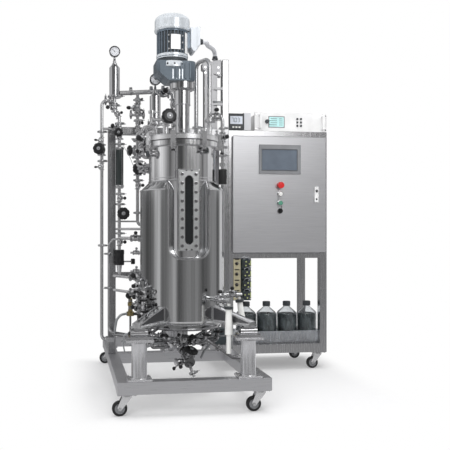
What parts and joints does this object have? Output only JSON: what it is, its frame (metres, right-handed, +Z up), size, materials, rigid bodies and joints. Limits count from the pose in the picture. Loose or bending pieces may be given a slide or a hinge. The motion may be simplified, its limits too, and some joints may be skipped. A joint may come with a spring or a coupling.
{
  "type": "pilot bioreactor",
  "caption": "Floor-standing jacketed stirred bioreactor on a wheeled skid with valve piping, top drive motor, control cabinet, pumps and feed bottles.",
  "frame": {"origin": "on the floor under the middle of the whole machine", "axes": "+X to the right along the front, +Y to the back, +Z up"},
  "size_m": [1.5203, 1.35, 2.053],
  "materials": {
    "brushed_stainless": "brushed stainless sheet",
    "polished_stainless": "mirror-polished stainless",
    "frame_stainless": "satin stainless tube",
    "grey_paint": "blue-grey machine enamel",
    "light_paint": "pale grey enamel",
    "white_paint": "white powder coat",
    "black_plastic": "black moulded plastic",
    "grey_plastic": "grey plastic",
    "white_plastic": "white plastic",
    "red_plastic": "red plastic",
    "green_plastic": "green plastic",
    "clear_plastic": "clear tray plastic",
    "bottle_glass": "filled glass bottle",
    "sight_glass": "toughened dark glass",
    "wheel_rubber": "black rubber tread"
  },
  "bodies": {
    "machine": {"base_frame": "frame_stainless", "support_pillars": "frame_stainless", "load_cells": "polished_stainless", "vessel_shell": "polished_stainless", "vessel_jacket": "polished_stainless", "sight_glass_frame": "polished_stainless", "sight_glass": "sight_glass", "vessel_lid": "polished_stainless", "lid_clamps": "polished_stainless", "drive_lantern": "polished_stainless", "gear_housing": "grey_paint", "motor_body": "grey_paint", "fan_cowl": "light_paint", "terminal_box": "light_paint", "motor_conduit": "grey_plastic", "rack_frame": "frame_stainless", "hoist_column": "frame_stainless", "stand_frame": "frame_stainless", "cabinet_body": "brushed_stainless", "control_gear": "light_paint", "gas_analyzer": "white_paint", "ph_display": "grey_plastic", "pump_unit": "grey_plastic", "bottle_tray": "clear_plastic", "bottles": "bottle_glass", "bottle_caps": "black_plastic", "rack_pipework": "polished_stainless", "lid_pipework": "polished_stainless", "bottom_pipework": "polished_stainless", "air_filter": "polished_stainless", "exhaust_filter": "polished_stainless", "pressure_gauges": "polished_stainless", "probe_sleeves": "white_plastic"},
    "agitator": {"agitator": "polished_stainless"},
    "door": {"cabinet_door": "brushed_stainless", "touch_screen": "black_plastic"},
    "latch": {"door_latch": "black_plastic"},
    "stop_button": {"emergency_stop": "red_plastic"},
    "white_push": {"white_button": "white_plastic"},
    "green_push": {"green_button": "green_plastic"},
    "selector": {"selector_switch": "black_plastic"},
    "front_left_fork": {"front_left_caster_fork": "polished_stainless"},
    "front_left_wheel": {"front_left_caster_wheel": "wheel_rubber"},
    "front_right_fork": {"front_right_caster_fork": "polished_stainless"},
    "front_right_wheel": {"front_right_caster_wheel": "wheel_rubber"},
    "back_left_fork": {"back_left_caster_fork": "polished_stainless"},
    "back_left_wheel": {"back_left_caster_wheel": "wheel_rubber"},
    "back_right_fork": {"back_right_caster_fork": "polished_stainless"},
    "back_right_wheel": {"back_right_caster_wheel": "wheel_rubber"},
    "stand_front_fork": {"stand_front_caster_fork": "polished_stainless"},
    "stand_front_wheel": {"stand_front_caster_wheel": "wheel_rubber"},
    "stand_back_fork": {"stand_back_caster_fork": "polished_stainless"},
    "stand_back_wheel": {"stand_back_caster_wheel": "wheel_rubber"},
    "steam_wheel_body": {"steam_handwheel": "black_plastic"},
    "air_wheel_body": {"air_handwheel": "black_plastic"},
    "water_wheel_body": {"water_handwheel": "black_plastic"},
    "exhaust_wheel_body": {"exhaust_handwheel": "black_plastic"},
    "feed_wheel_body": {"feed_handwheel": "black_plastic"},
    "lid_wheel_body": {"lid_handwheel": "black_plastic"},
    "drain_wheel_body": {"drain_handwheel": "black_plastic"}
  },
  "joints": [
    {"name": "front_left_swivel", "type": "hinge", "parent": "machine", "child": "front_left_fork", "pos_m": [-0.619, -0.627, 0.106], "axis": [0, 0, 1], "continuous": true},
    {"name": "front_left_roll", "type": "hinge", "parent": "front_left_fork", "child": "front_left_wheel", "pos_m": [-0.653, -0.627, 0.0375], "axis": [0, 1, 0], "continuous": true},
    {"name": "front_right_swivel", "type": "hinge", "parent": "machine", "child": "front_right_fork", "pos_m": [0.047, -0.627, 0.106], "axis": [0, 0, 1], "continuous": true},
    {"name": "front_right_roll", "type": "hinge", "parent": "front_right_fork", "child": "front_right_wheel", "pos_m": [0.013, -0.627, 0.0375], "axis": [0, 1, 0], "continuous": true},
    {"name": "back_left_swivel", "type": "hinge", "parent": "machine", "child": "back_left_fork", "pos_m": [-0.619, 0.627, 0.106], "axis": [0, 0, 1], "continuous": true},
    {"name": "back_left_roll", "type": "hinge", "parent": "back_left_fork", "child": "back_left_wheel", "pos_m": [-0.653, 0.627, 0.0375], "axis": [0, 1, 0], "continuous": true},
    {"name": "back_right_swivel", "type": "hinge", "parent": "machine", "child": "back_right_fork", "pos_m": [0.047, 0.627, 0.106], "axis": [0, 0, 1], "continuous": true},
    {"name": "back_right_roll", "type": "hinge", "parent": "back_right_fork", "child": "back_right_wheel", "pos_m": [0.013, 0.627, 0.0375], "axis": [0, 1, 0], "continuous": true},
    {"name": "stand_front_swivel", "type": "hinge", "parent": "machine", "child": "stand_front_fork", "pos_m": [0.713, 0.295, 0.106], "axis": [0, 0, 1], "continuous": true},
    {"name": "stand_front_roll", "type": "hinge", "parent": "stand_front_fork", "child": "stand_front_wheel", "pos_m": [0.679, 0.295, 0.0375], "axis": [0, 1, 0], "continuous": true},
    {"name": "stand_back_swivel", "type": "hinge", "parent": "machine", "child": "stand_back_fork", "pos_m": [0.713, 0.627, 0.106], "axis": [0, 0, 1], "continuous": true},
    {"name": "stand_back_roll", "type": "hinge", "parent": "stand_back_fork", "child": "stand_back_wheel", "pos_m": [0.679, 0.627, 0.0375], "axis": [0, 1, 0], "continuous": true},
    {"name": "agitator_spin", "type": "hinge", "parent": "machine", "child": "agitator", "pos_m": [-0.286, -0.286, 1], "axis": [0, 0, 1], "continuous": true},
    {"name": "steam_valve_turn", "type": "hinge", "parent": "machine", "child": "steam_wheel_body", "pos_m": [-0.706, 0.014, 1.364], "axis": [-0.2873, -0.9578, 0], "range_deg": [0, 720]},
    {"name": "air_valve_turn", "type": "hinge", "parent": "machine", "child": "air_wheel_body", "pos_m": [-0.604, 0.014, 1.46], "axis": [-0.1483, -0.9889, 0], "range_deg": [0, 720]},
    {"name": "water_valve_turn", "type": "hinge", "parent": "machine", "child": "water_wheel_body", "pos_m": [-0.586, 0.014, 0.994], "axis": [0, -1, 0], "range_deg": [0, 720]},
    {"name": "exhaust_valve_turn", "type": "hinge", "parent": "machine", "child": "exhaust_wheel_body", "pos_m": [-0.497, 0.014, 1.251], "axis": [0, -1, 0], "range_deg": [0, 720]},
    {"name": "feed_valve_turn", "type": "hinge", "parent": "machine", "child": "feed_wheel_body", "pos_m": [-0.497, 0.014, 1.362], "axis": [-0.9701, -0.2425, 0], "range_deg": [0, 720]},
    {"name": "lid_valve_turn", "type": "hinge", "parent": "machine", "child": "lid_wheel_body", "pos_m": [-0.38942, -0.37278, 1.483], "axis": [0.1476, -0.9841, 0.0984], "range_deg": [0, 720]},
    {"name": "drain_valve_turn", "type": "hinge", "parent": "machine", "child": "drain_wheel_body", "pos_m": [-0.27, -0.372, 0.212], "axis": [0.2506, -0.3509, 0.9023], "range_deg": [0, 720]},
    {"name": "door_swing", "type": "hinge", "parent": "machine", "child": "door", "pos_m": [0.131, 0.248, 1.128], "axis": [0, 0, 1], "range_deg": [-90, 0]},
    {"name": "latch_turn", "type": "hinge", "parent": "door", "child": "latch", "pos_m": [0.678, 0.228, 1.128], "axis": [0, 1, 0], "range_deg": [0, 90]},
    {"name": "stop_press", "type": "slide", "parent": "door", "child": "stop_button", "axis": [0, 1, 0], "range_m": [0, 0.0045], "stiffness_N_per_m": 800},
    {"name": "white_press", "type": "slide", "parent": "door", "child": "white_push", "axis": [0, 1, 0], "range_m": [0, 0.003], "stiffness_N_per_m": 800},
    {"name": "green_press", "type": "slide", "parent": "door", "child": "green_push", "axis": [0, 1, 0], "range_m": [0, 0.003], "stiffness_N_per_m": 800},
    {"name": "selector_turn", "type": "hinge", "parent": "door", "child": "selector", "pos_m": [0.4385, 0.228, 1.022], "axis": [0, 1, 0], "range_deg": [-45, 45]}
  ]
}
